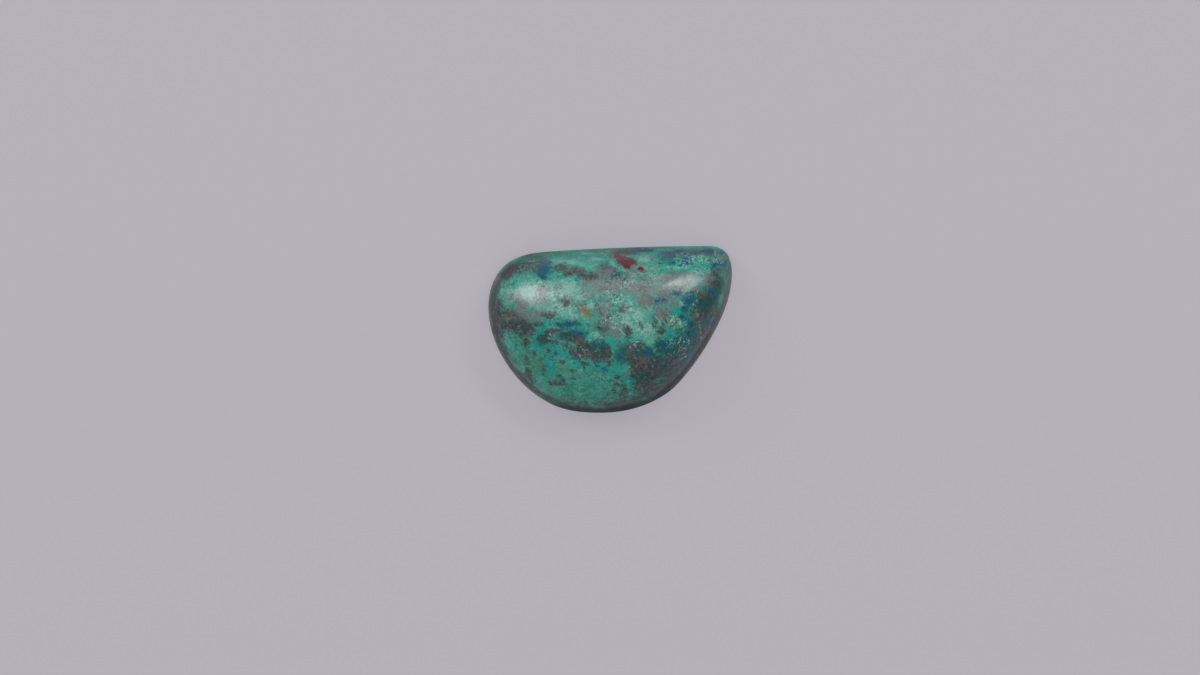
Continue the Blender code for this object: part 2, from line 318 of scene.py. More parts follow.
class StoneSizes(bpy.types.PropertyGroup):
    """The stone's main sizes, from the solid that it stands for."""

    size: bpy.props.FloatVectorProperty(
        name="Size", description="Length, width and thickness of the stone",
        size=3, default=tuple(STONE_SIZE), subtype="XYZ_LENGTH", unit="LENGTH")
    girdle_top: bpy.props.FloatProperty(
        name="Girdle height", description="Height of the wall under the dome",
        default=2.0 * MM, unit="LENGTH")
    girdle_lean: bpy.props.FloatProperty(
        name="Girdle lean", description="How far the wall leans in at its top",
        default=0.5 * MM, unit="LENGTH")
    upper_side_lean: bpy.props.FloatProperty(
        name="Upper side's lean", description="How much further it leans in on the side towards +Y",
        default=0.25 * MM, unit="LENGTH")
    foot_rounding: bpy.props.FloatProperty(
        name="Foot rounding", description="How much of the dome's foot each of its corners takes up",
        default=3.0 * MM, unit="LENGTH")
    back_bevel: bpy.props.FloatProperty(
        name="Back bevel", description="Bevel between the wall and the flat back",
        default=0.3 * MM, unit="LENGTH")
    summit: bpy.props.FloatVectorProperty(
        name="Summit", description="Where the dome is highest, as seen from above",
        size=2, default=(0.1 * MM, 0.55 * MM), unit="LENGTH")
    summit_oval: bpy.props.FloatVectorProperty(
        name="Summit oval", description="Half sizes of the oval that the dome's rings turn into",
        size=2, default=(7.4 * MM, 5.0 * MM), unit="LENGTH")
    oval_haste: bpy.props.FloatProperty(
        name="Oval haste", description="How soon the rings turn into that oval", default=1.5)
    shoulder: bpy.props.FloatProperty(
        name="Shoulder", description="Higher keeps the dome's top flatter", default=2.4)
    steepness: bpy.props.FloatProperty(
        name="Steepness", description="Lower makes the foot of the dome rise more steeply",
        default=0.86)
    wave_height: bpy.props.FloatProperty(
        name="Wave height", description="How wavy the hand polish leaves the dome",
        default=0.03 * MM, unit="LENGTH")
    wave_lengths: bpy.props.FloatVectorProperty(
        name="Wave lengths", description="How long those waves are along X and Y",
        size=2, default=(5.2 * MM, 4.1 * MM), unit="LENGTH")


class PitSizes(bpy.types.PropertyGroup):
    """The small pits that polishing leaves where grains fell out."""

    spacing: bpy.props.FloatProperty(
        name="Spacing", description="Least distance between two pits",
        default=0.22 * MM, unit="LENGTH")
    density: bpy.props.FloatProperty(
        name="Density", description="Most pits on a square metre", default=6e6)
    radius: bpy.props.FloatProperty(
        name="Radius", description="Radius of the widest pit", default=0.12 * MM, unit="LENGTH")
    depth: bpy.props.FloatProperty(
        name="Depth", description="Depth of the deepest pit", default=0.025 * MM, unit="LENGTH")
    seed: bpy.props.IntProperty(name="Seed", description="Which scatter of pits", default=7)


def colour_property(name, description, default):
    return bpy.props.FloatVectorProperty(
        name=name, description=description, size=3, default=default,
        min=0.0, max=1.0, subtype="COLOR")


class MineralColours(bpy.types.PropertyGroup):
    """The minerals' colours under the polish, and the colour of the painted reflection on the girdle."""

    ground: colour_property("Ground", "Chrysocolla that the rest lies in", (0.058, 0.303, 0.242))
    shade: colour_property("Ground, darker", "Its darker clouds", (0.031, 0.195, 0.157))
    deep: colour_property("Ground, darkest", "Dark blue-green stone", (0.008, 0.047, 0.053))
    mint: colour_property("Mint", "Its lighter parts, around the pale ones", (0.080, 0.318, 0.248))
    pale: colour_property("Pale", "Whitish chrysocolla", (0.182, 0.378, 0.318))
    teal: colour_property("Teal", "Saturated teal chrysocolla", (0.012, 0.258, 0.220))
    malachite: colour_property("Malachite", "Malachite green", (0.052, 0.222, 0.150))
    halo: colour_property("Azurite, thin", "Chrysocolla stained blue", (0.011, 0.129, 0.156))
    azurite: colour_property("Azurite", "Azurite blue", (0.003, 0.086, 0.157))
    navy: colour_property("Azurite, darker", "The darkest azurite", (0.006, 0.038, 0.062))
    matrix: colour_property("Matrix", "Dark rock between the minerals", (0.034, 0.046, 0.047))
    rust: colour_property("Rust", "Red-brown grains of the matrix", (0.092, 0.062, 0.064))
    # Grey-brown film; where it lies across the upper middle and under the highlights it is a painted
    # reflection.
    film: colour_property("Film", "Grey-brown film over the green", (0.150, 0.155, 0.158))
    cuprite: colour_property("Cuprite", "Cuprite red", (0.098, 0.008, 0.012))
    ochre: colour_property("Ochre", "Iron stain", (0.190, 0.150, 0.064))
    grain: colour_property("Grains", "Small yellow-green grains", (0.270, 0.350, 0.180))
    dust: colour_property("Dust", "Whitish grains and polishing dust", (0.300, 0.420, 0.380))
    # Not the stone's colour: a painted reflection of the pale floor on the girdle's lower wall.
    floor_reflection: colour_property("Frost", "The girdle's unpolished skin", (0.145, 0.140, 0.152))


class StageSettings(bpy.types.PropertyGroup):
    """The floor, the light and the camera."""

    floor_colour: colour_property("Floor", "Colour of the floor", (0.148, 0.142, 0.160))
    floor_glow: bpy.props.FloatProperty(
        name="Floor glow", description="How much light the floor gives off, as a light table does",
        default=0.30)
    sky_strength: bpy.props.FloatProperty(
        name="Sky", description="Brightness of the even light from all round", default=0.20)
    panel_radiance: bpy.props.FloatProperty(
        name="Panel", description="Brightness of the wide panel above the upper side", default=1.0)
    left_box_radiance: bpy.props.FloatProperty(
        name="Left box", description="Brightness of the soft box on the left", default=5.4)
    right_box_radiance: bpy.props.FloatProperty(
        name="Right box", description="Brightness of the soft box on the right", default=9.0)
    fill_radiance: bpy.props.FloatProperty(
        name="Fill", description="Brightness of the fill from the camera's side, unseen in the polish",
        default=1.3)
    frame_width: bpy.props.FloatProperty(
        name="Frame width", description="Width of what the camera sees at the stone's girth",
        default=80 * MM, unit="LENGTH")
    lens: bpy.props.FloatProperty(
        name="Lens", description="Focal length in millimetres", default=100.0)


def heading_vector(degrees):
    return np.array([math.cos(math.radians(degrees)), math.sin(math.radians(degrees))])


def arc_like_stretch(start, end):
    """Points from one knot to just before the next, on the cubic curve that is nearest to an arc."""
    first, last = np.array(start[:2]), np.array(end[:2])
    turn = math.radians((end[2] - start[2]) % 360)
    reach = np.linalg.norm(last - first) / (3 * math.cos(turn / 4) ** 2)
    leaving = first + reach * heading_vector(start[2])
    arriving = last - reach * heading_vector(end[2])
    gone = np.linspace(0, 1, STEPS_PER_STRETCH, endpoint=False)[:, None]
    left = 1 - gone
    near_first = left ** 3 * first + 3 * gone * left ** 2 * leaving
    near_last = 3 * gone ** 2 * left * arriving + gone ** 3 * last
    return near_first + near_last


def outline(sizes):
    """The outline as evenly spaced points, fitted to the stone's length and width."""
    knots = OUTLINE_KNOTS
    curve = np.concatenate([arc_like_stretch(a, b) for a, b in zip(knots, knots[1:] + knots[:1])])
    low, high = curve.min(axis=0), curve.max(axis=0)
    curve = (curve - (low + high) / 2) * (np.array(sizes.size)[:2] / (high - low))
    loop = np.concatenate([curve, curve[:1]])
    travelled = np.concatenate([[0], np.cumsum(np.linalg.norm(np.diff(loop, axis=0), axis=1))])
    even = np.linspace(0, travelled[-1], STEPS_AROUND, endpoint=False)
    return np.column_stack([np.interp(even, travelled, loop[:, axis]) for axis in (0, 1)])


def inset(loop, distance, upper_side=0.0):
    """The loop moved inwards by a distance, square to itself, and by more on the upper side."""
    along = np.roll(loop, -1, axis=0) - np.roll(loop, 1, axis=0)
    along /= np.linalg.norm(along, axis=1)[:, None]
    inwards = np.column_stack([-along[:, 1], along[:, 0]])
    facing_up = np.clip(-inwards[:, 1:], 0, 1)
    return loop + (distance + upper_side * facing_up ** 2) * inwards


def rounded(loop, width):
    """The loop with each point moved to the middle of a stretch of this width around it, twice."""
    length = np.linalg.norm(np.roll(loop, -1, axis=0) - loop, axis=1).sum()
    reach = round(width / length * len(loop) / 2)
    for _ in range(2):
        loop = np.mean([np.roll(loop, step, axis=0) for step in range(-reach, reach + 1)], axis=0)
    return loop


def level_ring(loop, height):
    return np.column_stack([loop, np.full(len(loop), height)])


def dome_ring(sizes, foot, share):
    """One ring of the dome. The share is 1 at the dome's foot and 0 at the summit."""
    summit, oval = np.array(sizes.summit), np.array(sizes.summit_oval)
    offset = (foot - summit) / oval
    reach = np.linalg.norm(offset, axis=1)[:, None]
    spread = share * (1 + share ** sizes.oval_haste * (reach - 1))
    ring = summit + spread * offset / reach * oval
    rise = (sizes.size[2] - sizes.girdle_top) * (1 - share ** sizes.shoulder) ** sizes.steepness
    phase = ring * 2 * math.pi / np.array(sizes.wave_lengths)
    swell = np.sin(phase[:, 0]) * np.cos(phase[:, 1])
    midway = (4 * share * (1 - share)) ** 2
    return np.column_stack([ring, sizes.girdle_top + rise + sizes.wave_height * midway * swell])


def stone_rings(sizes):
    """All the closed rings of the stone, from around the back's middle up to just under the summit."""
    edge = outline(sizes)
    foot = rounded(inset(edge, sizes.girdle_lean, sizes.upper_side_lean), sizes.foot_rounding)
    summit = np.array(sizes.summit)
    rim = inset(edge, sizes.back_bevel)
    rings = []
    for step in range(1, BACK_RINGS + 1):
        rings.append(level_ring(summit + (rim - summit) * step / BACK_RINGS, 0))
    for step in range(1, BEVEL_RINGS):
        up = step / BEVEL_RINGS
        rings.append(level_ring(inset(edge, sizes.back_bevel * (1 - up)), sizes.back_bevel * up))
    for step in range(GIRDLE_RINGS):
        up = step / GIRDLE_RINGS
        height = sizes.back_bevel + (sizes.girdle_top - sizes.back_bevel) * up
        rings.append(level_ring(edge + (foot - edge) * up, height))
    for step in range(DOME_RINGS):
        rings.append(dome_ring(sizes, foot, 1 - (step / DOME_RINGS) ** RING_CROWDING))
    return np.array(rings)


def soften_arrises(sizes, rings):
    """Rounds the bevel's and the girdle's arrises, as polishing does, and leaves the back flat."""
    first = BACK_RINGS
    last = BACK_RINGS + BEVEL_RINGS + GIRDLE_RINGS + DOME_RINGS // 4
    for _ in range(ARRIS_SOFTENINGS):
        middle = rings[first:last]
        rings[first:last] = (rings[first - 1:last - 1] + 2 * middle + rings[first + 1:last + 1]) / 4
    low, high = rings.min(axis=(0, 1)), rings.max(axis=(0, 1))
    rings[..., :2] -= (low + high)[:2] / 2
    rings[..., :2] *= np.array(sizes.size)[:2] / (high - low)[:2]
    return rings


def stone_mesh(sizes):
    """The fine mesh: rings of quads, closed by a fan at the back's middle and one at the summit."""
    rings = soften_arrises(sizes, stone_rings(sizes))
    count = len(rings)
    places = [tuple(place) for place in rings.reshape(-1, 3)]
    back, top = len(places), len(places) + 1
    places += [(*sizes.summit, 0.0), (*sizes.summit, sizes.size[2])]
    faces = []
    for ring in range(count - 1):
        for i in range(STEPS_AROUND):
            j = (i + 1) % STEPS_AROUND
            lower, upper = ring * STEPS_AROUND, (ring + 1) * STEPS_AROUND
            faces.append((lower + i, lower + j, upper + j, upper + i))
    last = (count - 1) * STEPS_AROUND
    for i in range(STEPS_AROUND):
        j = (i + 1) % STEPS_AROUND
        faces.append((j, i, back))
        faces.append((last + i, last + j, top))
    mesh = bpy.data.meshes.new("stone_surface")
    mesh.from_pydata(places, [], faces)
    mesh.shade_smooth()
    return mesh


def vertex_places(mesh):
    places = np.empty(len(mesh.vertices) * 3, np.float32)
    mesh.vertices.foreach_get("co", places)
    return places.reshape(-1, 3).astype(float)


def wander(places, size):
    """A smooth random offset for each place, between about -1 and 1 along each axis."""
    return np.array([noise.noise_vector(Vector(place / size)) for place in places])


def clouds(places, size, which):
    """A random value with finer detail on top for each place, mostly between -1 and 1."""
    shift = Vector([step * which for step in (7.31, 3.17, 5.53)])
    dimension, finer, layers = 0.9, 2.1, 4
    cloud = [noise.fractal(Vector(place / size) + shift, dimension, finer, layers) for place in places]
    return np.array(cloud) * 2


def inside_marks(spots, marks):
    """How far inside the nearest mark each spot is, in units that grow with the mark's width."""
    near_middle, not_zero = 0.05, 1e-6
    inside = np.full(len(spots), FAR_OUTSIDE)
    for x, y, half_length, half_width, *turn in marks:
        across, up = (spots - (x, y)).T
        cos, sin = heading_vector(sum(turn))
        along = np.array([across * cos + up * sin, up * cos - across * sin])
        halves = np.array([[half_length], [half_width]])
        ratio = np.linalg.norm(along / halves, axis=0)
        slope = np.linalg.norm(along / halves ** 2, axis=0) + not_zero
        deepest = min(half_length, half_width)
        distance = np.minimum(ratio * (1 - ratio) / slope, deepest)
        distance = np.where(ratio < near_middle, deepest, distance)
        inside = np.maximum(inside, distance / math.sqrt(PLAIN_WIDTH * half_width))
    return inside


def smooth_step(value, low, high):
    share = np.clip((value - low) / (high - low), 0, 1)
    return share * share * (3 - 2 * share)


def store(mesh, name, values):
    """Keeps a value for each vertex, under this name."""
    attribute = mesh.attributes.new(name, "FLOAT", "POINT")
    attribute.data.foreach_set("value", values.astype(np.float32))


def mark_minerals(mesh, sizes, eye_height):
    """Stores how deep inside each mineral's patches every point of the stone is."""
    places = vertex_places(mesh)
    towards_eye = eye_height / (eye_height - places[:, 2:])
    noise.seed_set(DRIFT_SEED)
    drift = sum(wander(places, length * MM)[:, :2] * distance for length, distance in DRIFTS)
    seen = places[:, :2] * towards_eye / MM + drift
    begin, full = MARKS_BEGIN
    on_dome = smooth_step(places[:, 2], sizes.girdle_top * begin, sizes.girdle_top * full)
    for mineral, marks in MARKS.items():
        size, commonness, which = UNSEEN_PATCHES[mineral]
        scattered = clouds(places, size * MM, which) + commonness
        store(mesh, mineral, inside_marks(seen, marks) * on_dome + scattered * (1 - on_dome))


def pit_tree():
    """The nodes that press pits into a surface, more of them where its grains are coarse."""
    tree = bpy.data.node_groups.new("polish_pits", "GeometryNodeTree")
    face = tree.interface
    face.new_socket("Geometry", in_out="INPUT", socket_type="NodeSocketGeometry")
    for name in ("Spacing", "Density", "Radius", "Depth"):
        face.new_socket(name, in_out="INPUT", socket_type="NodeSocketFloat")
    face.new_socket("Seed", in_out="INPUT", socket_type="NodeSocketInt")
    face.new_socket("Material", in_out="INPUT", socket_type="NodeSocketMaterial")
    face.new_socket("Geometry", in_out="OUTPUT", socket_type="NodeSocketGeometry")
    bench = NodeBench(tree)
    given = bench.add("NodeGroupInput")
    surface = given.outputs["Geometry"]

    coarse = bench.named("pitted")
    scatter = bench.add(
        "GeometryNodeDistributePointsOnFaces", distribute_method="POISSON",
        inputs={"Mesh": surface, "Distance Min": given.outputs["Spacing"],
                "Density Max": given.outputs["Density"], "Density Factor": coarse,
                "Seed": given.outputs["Seed"]}).outputs["Points"]
    nearest = bench.add("GeometryNodeSampleNearest", inputs={"Geometry": scatter}).outputs["Index"]
    spread = bench.add("FunctionNodeRandomValue", data_type="FLOAT",
                       inputs={2: SMALLEST_PIT, 3: 1.0, "Seed": given.outputs["Seed"]}).outputs[1]
    own_size = bench.add(
        "GeometryNodeSampleIndex", data_type="FLOAT", domain="POINT",
        inputs={"Geometry": scatter, "Value": spread, "Index": nearest}).outputs["Value"]
    distance = bench.add("GeometryNodeProximity", target_element="POINTS",
                         inputs={0: scatter}).outputs["Distance"]
    reach = bench.maths("MULTIPLY", given.outputs["Radius"], own_size)
    hollow = bench.between(bench.maths("DIVIDE", distance, reach), PIT_FLOOR, 1.0, 1.0, 0.0)
    drop = bench.maths("MULTIPLY", bench.maths("MULTIPLY", hollow, own_size), given.outputs["Depth"])
    inwards = bench.add("ShaderNodeVectorMath", operation="SCALE",
                        inputs={0: bench.add("GeometryNodeInputNormal").outputs["Normal"],
                                "Scale": bench.maths("MULTIPLY", drop, -1.0)}).outputs[0]
    marked = bench.add("GeometryNodeStoreNamedAttribute", data_type="FLOAT", domain="POINT",
                       inputs={"Geometry": surface, "Name": "pit", "Value": hollow}).outputs["Geometry"]
    pressed = bench.add("GeometryNodeSetPosition",
                        inputs={"Geometry": marked, "Offset": inwards}).outputs["Geometry"]
    real = bench.add("GeometryNodeRealizeInstances", inputs={"Geometry": pressed}).outputs["Geometry"]
    dressed = bench.add("GeometryNodeSetMaterial",
                        inputs={"Geometry": real, "Material": given.outputs["Material"]})
    bench.add("NodeGroupOutput", inputs={"Geometry": dressed.outputs["Geometry"]})
    return tree


class NodeBench:
    """Adds nodes to a tree, each with its settings and inputs in one call."""

    def __init__(self, tree):
        self.tree = tree
        self.place = None

    def add(self, kind, inputs=None, **settings):
        node = self.tree.nodes.new(kind)
        for name, value in settings.items():
            setattr(node, name, value)
        for name, value in (inputs or {}).items():
            self.feed(node.inputs[name], value)
        return node

    def feed(self, socket, value):
        if isinstance(value, bpy.types.NodeSocket):
            self.tree.links.new(value, socket)
        else:
            socket.default_value = value

    def named(self, name):
        """A stored attribute of the geometry, in a geometry tree."""
        return self.add("GeometryNodeInputNamedAttribute", data_type="FLOAT",
                        inputs={"Name": name}).outputs["Attribute"]

    def stored(self, name):
        """The same attribute, in a material."""
        return self.add("ShaderNodeAttribute", attribute_name=name).outputs["Fac"]

    def maths(self, operation, first, second=0.0, third=0.0):
        return self.add("ShaderNodeMath", operation=operation,
                        inputs={0: first, 1: second, 2: third}).outputs[0]

    def times(self, first, second):
        return self.maths("MULTIPLY", first, second)

    def between(self, value, low, high, to_low=0.0, to_high=1.0):
        """The value eased from one range to another, and held at its ends."""
        return self.add("ShaderNodeMapRange", interpolation_type="SMOOTHSTEP",
                        inputs={"Value": value, "From Min": low, "From Max": high,
                                "To Min": to_low, "To Max": to_high}).outputs["Result"]

    def cover(self, name, field):
        """How much the named coat covers, from its mineral's field."""
        low, high, most = COVERS[name]
        return self.between(field, low, high, 0.0, most)

    def centred_noise(self, size, which, detail, roughness):
        """Noise around 0, mostly between -0.25 and 0.25, whose largest forms have this size."""
        fac = self.add("ShaderNodeTexNoise", noise_dimensions="4D",
                       inputs={"Vector": self.place, "W": which, "Scale": 1 / (size * MM),
                               "Detail": detail, "Roughness": roughness}).outputs["Fac"]
        return self.maths("SUBTRACT", fac, 0.5)

    def cloud(self, name):
        return self.centred_noise(*CLOUDS[name])

    def dots(self, share):
        """Dots in this share of small cells, and a random value for each cell."""
        cell, radius, solid, shift = 0.14 * MM, 0.6, 0.55, 80 * MM
        apart = self.add("ShaderNodeVectorMath", operation="ADD",
                         inputs={0: self.place, 1: (shift, 0.0, 0.0)}).outputs[0]
        cells = self.add("ShaderNodeTexVoronoi", inputs={"Vector": apart, "Scale": 1 / cell})
        kind = self.add("ShaderNodeSeparateColor", inputs={"Color": cells.outputs["Color"]})
        chosen = self.maths("LESS_THAN", kind.outputs[0], share)
        body = self.between(cells.outputs["Distance"], radius * solid, radius, 1.0, 0.0)
        return self.times(chosen, body), kind.outputs[1]

    def mix(self, share, under, over):
        def four(colour):
            return colour if isinstance(colour, bpy.types.NodeSocket) else (*colour, 1.0)
        return self.add("ShaderNodeMix", data_type="RGBA",
                        inputs={0: share, 6: four(under), 7: four(over)}).outputs[2]

    def edge(self, mineral):
        """A mineral's field with its edge made ragged by noise, and frayed by grit."""
        size, ragged, fray, which = EDGES[mineral]
        wandering = self.centred_noise(size, which, 6, 0.72)
        field = self.maths("MULTIPLY_ADD", wandering, ragged, self.stored(mineral))
        grit = self.centred_noise(0.15, which + 0.5, 3, 0.7)
        return self.maths("MULTIPLY_ADD", grit, fray, field)

    def coat(self, mineral, under, over):
        """One colour laid over another where the mineral's marks are."""
        return self.mix(self.cover(mineral, self.edge(mineral)), under, over)


def swirling_place(bench):
    """Places on the stone, shifted a little by noise so that nothing follows its straight grid."""
    size, reach = 0.7 * MM, 0.5 * MM
    place = bench.add("ShaderNodeTexCoord").outputs["Object"]
    swirl = bench.add("ShaderNodeTexNoise", inputs={"Vector": place, "Scale": 1 / size, "Detail": 2.0})
    centred = bench.add("ShaderNodeVectorMath", operation="SUBTRACT",
                        inputs={0: swirl.outputs["Color"], 1: (0.5, 0.5, 0.5)}).outputs[0]
    return bench.add("ShaderNodeVectorMath", operation="MULTIPLY_ADD",
                     inputs={0: centred, 1: (reach, reach, reach), 2: place}).outputs[0]


def green_minerals(bench, colours, mottle, grit):
    """The chrysocolla that the rest lies in, with its deep, teal, malachite and pale parts."""
    broad = bench.cloud("broad")
    colour = bench.mix(bench.between(mottle, -0.16, 0.1), colours.shade, colours.ground)
    colour = bench.mix(bench.between(broad, 0.0, 0.16, 0.0, 0.5), colour, colours.malachite)
    colour = bench.mix(bench.between(grit, 0.05, 0.2, 0.0, 0.35), colour, colours.mint)
    colour = bench.coat("teal", colour, colours.teal)
    colour = bench.coat("malachite", colour, colours.malachite)
    colour = bench.coat("deep", colour, colours.deep)
    pale = bench.edge("pale")
    colour = bench.mix(bench.cover("mint", pale), colour, colours.mint)
    return bench.mix(bench.cover("pale", pale), colour, colours.pale)


def rock_colour(bench, colours, grit):
    """The dark rock, with red-brown, grey and green grains in it."""
    patchy = bench.cloud("rust")
    deep = bench.between(bench.stored("deep"), 0.2, 1.5)
    rock = bench.mix(bench.times(deep, 0.6), colours.matrix, colours.deep)
    rusty = bench.between(deep, 0.0, 1.0, 0.85, 0.5)
    rock = bench.mix(bench.between(patchy, -0.03, 0.09, 0.0, rusty), rock, colours.rust)
    rock = bench.mix(bench.between(patchy, -0.2, -0.06, 0.7, 0.0), rock, colours.shade)
    rock = bench.mix(bench.between(bench.cloud("grey"), 0.03, 0.14, 0.0, 0.6), rock, colours.film)
    return bench.mix(bench.between(grit, 0.06, 0.18, 0.0, 0.5), rock, colours.ground)


def small_grains(bench, colours, colour, speckled):
    """Dark flecks all over, and light ones where the stone is speckled or grainy."""
    def speckles(kind):
        return bench.maths("MULTIPLY_ADD", speckled, WHERE_SPECKLED[kind], bench.cloud(kind))
    crowd = bench.cloud("crowd")
    dark = bench.maths("MULTIPLY_ADD", crowd, CROWDING, speckles("dark"))
    colour = bench.mix(bench.between(dark, 0.13, 0.22, 0.0, 0.8), colour, colours.matrix)
    brown = bench.maths("MULTIPLY_ADD", crowd, -CROWDING, bench.cloud("brown"))
    colour = bench.mix(bench.between(brown, 0.15, 0.25, 0.0, 0.6), colour, colours.rust)
    colour = bench.mix(bench.between(speckles("light"), 0.16, 0.24, 0.0, 0.7), colour, colours.dust)
    colour = bench.mix(bench.between(speckles("blue"), -0.24, -0.16, 0.65, 0.0), colour, colours.azurite)
    grainy = bench.cover("grain", bench.edge("grain"))
    yellow = bench.times(grainy, bench.between(bench.cloud("yellow"), 0.0, 0.12, 0.0, 0.55))
    colour = bench.mix(yellow, colour, colours.grain)
    among_grains, elsewhere, most = 0.35, 0.0005, 0.65
    dots, tone = bench.dots(bench.maths("MULTIPLY_ADD", grainy, among_grains, elsewhere))
    return bench.mix(bench.times(dots, most), colour, bench.mix(tone, colours.grain, colours.dust))


def mineral_layers(bench, colours, mottle, grit):
    """The colour from the ground up, and how much of it is matrix and how much is speckled."""
    colour = green_minerals(bench, colours, mottle, grit)
    # The film: real grey-brown film, and across the upper middle and under the highlights a painted
    # reflection.
    film = bench.edge("film")
    gaps = bench.between(bench.cloud("film"), -0.1, 0.14, 1.0, 0.4)
    film_and_sheen_colour = bench.mix(bench.between(mottle, 0.0, 0.14), colours.film, colours.rust)
    colour = bench.mix(bench.times(bench.cover("film", film), gaps), colour, film_and_sheen_colour)
    azurite = bench.edge("azurite")
    blue = bench.mix(bench.between(mottle, -0.14, 0.06), colours.navy, colours.azurite)
    colour = bench.mix(bench.cover("halo", azurite), colour, colours.halo)
    colour = bench.mix(bench.cover("azurite", azurite), colour, blue)
    matrix = bench.cover("matrix", bench.edge("matrix"))
    colour = bench.mix(matrix, colour, rock_colour(bench, colours, grit))
    colour = bench.coat("cuprite", colour, colours.cuprite)
    colour = bench.coat("ochre", colour, colours.ochre)
    speckled = bench.cover("speck", bench.edge("speck"))
    return small_grains(bench, colours, colour, speckled), matrix, speckled


def rim_parts(bench, sizes, mottle):
    """Where the rim has a painted reflection of the floor and where painted shade, how rough it is, and
    its upper side.
    """
    place = bench.add("ShaderNodeSeparateXYZ", inputs={
        "Vector": bench.add("ShaderNodeTexCoord").outputs["Object"]})
    x, y, z = (place.outputs[axis] for axis in "XYZ")
    top = sizes.girdle_top
    height = bench.maths("MULTIPLY_ADD", mottle, 2.2 * MM, z)
    above_back = bench.between(z, 0.0, sizes.back_bevel)
    ends = bench.between(bench.maths("ABSOLUTE", x), 2.0 * MM, 6.0 * MM)
    upper_side = bench.between(y, 3.2 * MM, 4.8 * MM)
    # Painted reflection of the pale floor: the lowest wall all round and, at the ends, the wall further
    # up; little on the upper side and less on the bevel.
    painted_rim_reflection = bench.times(bench.between(height, top * 0.4, top * 0.85, 0.9, 0.0), ends)
    painted_rim_reflection = bench.maths("MAXIMUM", painted_rim_reflection, bench.between(z, top * 0.15, top * 0.5, 0.9, 0.0))
    painted_rim_reflection = bench.times(painted_rim_reflection, bench.between(upper_side, 0.0, 1.0, 1.0, 0.1))
    painted_rim_reflection = bench.times(painted_rim_reflection, bench.between(above_back, 0.0, 1.0, 0.35, 1.0))
    # Painted shade along the rim: around the top of the wall, and away from the ends also up from the
    # low wall; less at the right end and in the upper middle, none on the bevel.
    foot = bench.times(bench.between(height, top * 0.2, top * 0.6),
                       bench.between(height, top * 0.8, top * 1.2, 0.8, 0.0))
    foot = bench.times(foot, bench.between(x, 5.0 * MM, 8.0 * MM, 1.0, 0.5))
    low_wall = bench.times(bench.between(height, top * 0.5, top * 1.6, 1.3, 0.0),
                           bench.maths("SUBTRACT", 1.0, ends))
    upper_middle = bench.times(upper_side, bench.maths("SUBTRACT", 1.0, ends))
    painted_rim_shade = bench.times(bench.maths("MAXIMUM", foot, low_wall), above_back)
    painted_rim_shade = bench.times(painted_rim_shade, bench.between(upper_middle, 0.0, 1.0, 1.0, 0.45))
    unpolished = bench.times(bench.between(height, top * 0.5, top * 1.05, 0.45, 0.0),
                             bench.between(upper_side, 0.0, 1.0, 1.0, 0.15))
    return painted_rim_reflection, painted_rim_shade, unpolished, upper_side


def stone_material(colours, sizes):
    """The polished stone: its minerals, its pits, its rim and its fine unevenness."""
    material = bpy.data.materials.new("cabochon_minerals")
    material.use_nodes = True
    shader = material.node_tree.nodes["Principled BSDF"]
    bench = NodeBench(material.node_tree)
    bench.place = swirling_place(bench)
    mottle = bench.cloud("mottle")
    grit = bench.cloud("grit")

    colour, matrix, speckled = mineral_layers(bench, colours, mottle, grit)
    colour = bench.mix(bench.cover("scratch", bench.stored("scratch")), colour, colours.dust)
    pit = bench.stored("pit")
    filled = bench.mix(bench.between(mottle, -0.04, 0.06), colours.matrix, colours.dust)
    pits_show, rougher_pits, rougher_matrix, relief_of_grit = 0.4, 0.3, 0.08, 0.4
    colour = bench.mix(bench.times(pit, pits_show), colour, filled)
    painted_rim_reflection, painted_rim_shade, unpolished, upper_side = rim_parts(bench, sizes, mottle)
    # Lays the painted reflection of the floor on the girdle.
    colour = bench.mix(painted_rim_reflection, colour, colours.floor_reflection)

    rough_patches = bench.between(bench.cloud("contrast"), -0.06, 0.12)
    contrast = bench.between(bench.maths("MAXIMUM", speckled, rough_patches), 0.0, 1.0, 1.4, 3.9)
    contrast = bench.times(contrast, bench.between(matrix, 0.0, 1.0, 1.0, 0.6))
    value = bench.maths("MULTIPLY_ADD", grit, contrast, 1.0)
    # Painted shade: the colour is darkened where the rim is shaded, and made more saturated on the upper
    # side.
    tint = bench.add("ShaderNodeHueSaturation", inputs={
        "Hue": bench.between(mottle, -0.25, 0.25, 0.492, 0.508),
        "Saturation": bench.between(upper_side, 0.0, 1.0, 1.0, 1.2),
        "Value": bench.times(value, bench.between(painted_rim_shade, 0.0, 1.3, 1.0, 0.15)), "Color": colour})
    bench.feed(shader.inputs["Base Color"], tint.outputs["Color"])

    polish = bench.between(mottle, -0.2, 0.2, 0.18, 0.25)
    rough = bench.maths("MULTIPLY_ADD", matrix, rougher_matrix, polish)
    rough = bench.maths("MULTIPLY_ADD", pit, rougher_pits, rough)
    rough = bench.maths("ADD", unpolished, rough)
    bench.feed(shader.inputs["Roughness"], rough)
    shader.inputs["IOR"].default_value = 1.5
    relief = bench.maths("MULTIPLY_ADD", grit, relief_of_grit, mottle)
    bump = bench.add("ShaderNodeBump", inputs={
        "Strength": 0.25, "Distance": 0.02 * MM, "Height": relief})
    bench.feed(shader.inputs["Normal"], bump.outputs["Normal"])
    return material


def add_object(name, mesh):
    thing = bpy.data.objects.new(name, mesh)
    bpy.context.scene.collection.objects.link(thing)
    return thing


